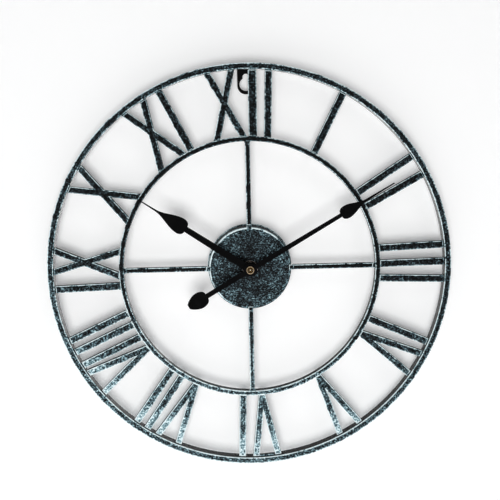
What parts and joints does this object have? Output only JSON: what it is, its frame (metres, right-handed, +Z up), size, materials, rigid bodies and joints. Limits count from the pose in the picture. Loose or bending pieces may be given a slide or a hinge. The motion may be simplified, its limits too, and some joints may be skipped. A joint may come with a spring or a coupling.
{
  "type": "wall clock",
  "caption": "Open-frame round metal wall clock with Roman numerals between two rings, spade hands, a centre cup and a battery quartz movement behind it.",
  "frame": {"origin": "axis of the wall screw, at the top of the keyhole slot, in the plane of the wall", "axes": "+Z up, +Y into the wall, the dial faces -Y and +X is to its viewer's right"},
  "size_m": [0.4, 0.039, 0.4],
  "materials": {
    "antique_steel": "black-green paint rubbed over with silver",
    "black_steel": "satin black",
    "brass": "turned",
    "plated_steel": "nickel plated",
    "copper_wire": "enamelled copper winding",
    "black_plastic": "moulded, fine grain",
    "white_plastic": "moulded acetal",
    "circuit_board": "green solder mask",
    "rubber": "plain",
    "battery_jacket": "printed-style plain jacket, no lettering"
  },
  "bodies": {
    "frame": {"battery_contact_negative": "plated_steel", "battery_contact_positive": "plated_steel", "centre_cup": "antique_steel", "circuit_board": "circuit_board", "drive_coil": "copper_wire", "hanger_plate": "black_steel", "inner_ring": "antique_steel", "mounting_nut": "brass", "mounting_washer": "brass", "movement_case": "black_plastic", "movement_cover": "black_plastic", "numeral_III_bar_1": "antique_steel", "numeral_III_bar_2": "antique_steel", "numeral_III_bar_3": "antique_steel", "numeral_II_bar_1": "antique_steel", "numeral_II_bar_2": "antique_steel", "numeral_IV_bar_1": "antique_steel", "numeral_IV_vee": "antique_steel", "numeral_IX_bar_1": "antique_steel", "numeral_IX_cross": "antique_steel", "numeral_I_bar_1": "antique_steel", "numeral_VIII_bar_1": "antique_steel", "numeral_VIII_bar_2": "antique_steel", "numeral_VIII_bar_3": "antique_steel", "numeral_VIII_vee": "antique_steel", "numeral_VII_bar_1": "antique_steel", "numeral_VII_bar_2": "antique_steel", "numeral_VII_vee": "antique_steel", "numeral_VI_bar_1": "antique_steel", "numeral_VI_vee": "antique_steel", "numeral_V_vee": "antique_steel", "numeral_XII_bar_1": "antique_steel", "numeral_XII_bar_2": "antique_steel", "numeral_XII_cross": "antique_steel", "numeral_XI_bar_1": "antique_steel", "numeral_XI_cross": "antique_steel", "numeral_X_cross": "antique_steel", "outer_ring": "antique_steel", "quartz_crystal": "plated_steel", "rubber_gasket": "rubber", "spoke_bottom": "antique_steel", "spoke_left": "antique_steel", "spoke_right": "antique_steel", "spoke_top": "antique_steel", "stator": "plated_steel", "train_plate": "black_plastic"},
    "minute_hand": {"minute_hand": "black_steel", "minute_nut": "brass", "minute_arbor": "brass"},
    "hour_hand": {"hour_hand": "black_steel", "hour_wheel": "white_plastic"},
    "motion_wheel": {"motion_wheel": "white_plastic", "setting_knob": "white_plastic"},
    "seconds_wheel": {"seconds_wheel": "white_plastic"},
    "third_wheel": {"third_wheel": "white_plastic"},
    "centre_wheel": {"centre_wheel": "white_plastic"},
    "intermediate_wheel": {"intermediate_wheel": "white_plastic"},
    "rotor": {"rotor": "plated_steel"},
    "battery": {"battery": "battery_jacket"}
  },
  "joints": [
    {"name": "minute_hand_turn", "type": "hinge", "parent": "frame", "child": "minute_hand", "pos_m": [0, 0, -0.1871], "axis": [0, 1, 0], "continuous": true},
    {"name": "hour_hand_turn", "type": "hinge", "parent": "frame", "child": "hour_hand", "pos_m": [0, 0, -0.1871], "axis": [0, 1, 0], "continuous": true},
    {"name": "motion_wheel_turn", "type": "hinge", "parent": "frame", "child": "motion_wheel", "pos_m": [-0.00665, 0, -0.1776], "axis": [0, 1, 0], "continuous": true},
    {"name": "seconds_wheel_turn", "type": "hinge", "parent": "frame", "child": "seconds_wheel", "pos_m": [0, 0, -0.1871], "axis": [0, 1, 0], "continuous": true},
    {"name": "third_wheel_turn", "type": "hinge", "parent": "frame", "child": "third_wheel", "pos_m": [0.00792, 0, -0.17918], "axis": [0, 1, 0], "continuous": true},
    {"name": "centre_wheel_turn", "type": "hinge", "parent": "frame", "child": "centre_wheel", "pos_m": [0, 0, -0.1871], "axis": [0, 1, 0], "continuous": true},
    {"name": "intermediate_wheel_turn", "type": "hinge", "parent": "frame", "child": "intermediate_wheel", "pos_m": [-0.0102, 0, -0.1871], "axis": [0, 1, 0], "continuous": true},
    {"name": "rotor_turn", "type": "hinge", "parent": "frame", "child": "rotor", "pos_m": [-0.0174, 0, -0.1871], "axis": [0, 1, 0], "continuous": true},
    {"name": "battery_out", "type": "slide", "parent": "frame", "child": "battery", "axis": [0, 1, 0], "range_m": [0, 0.02]}
  ],
  "couplings": [
    {"joint": "hour_hand_turn", "follows": "minute_hand_turn", "ratio": 0.083333},
    {"joint": "motion_wheel_turn", "follows": "minute_hand_turn", "ratio": -0.33333},
    {"joint": "third_wheel_turn", "follows": "seconds_wheel_turn", "ratio": -0.125},
    {"joint": "centre_wheel_turn", "follows": "seconds_wheel_turn", "ratio": 0.016667},
    {"joint": "intermediate_wheel_turn", "follows": "seconds_wheel_turn", "ratio": -6},
    {"joint": "rotor_turn", "follows": "seconds_wheel_turn", "ratio": 30}
  ]
}
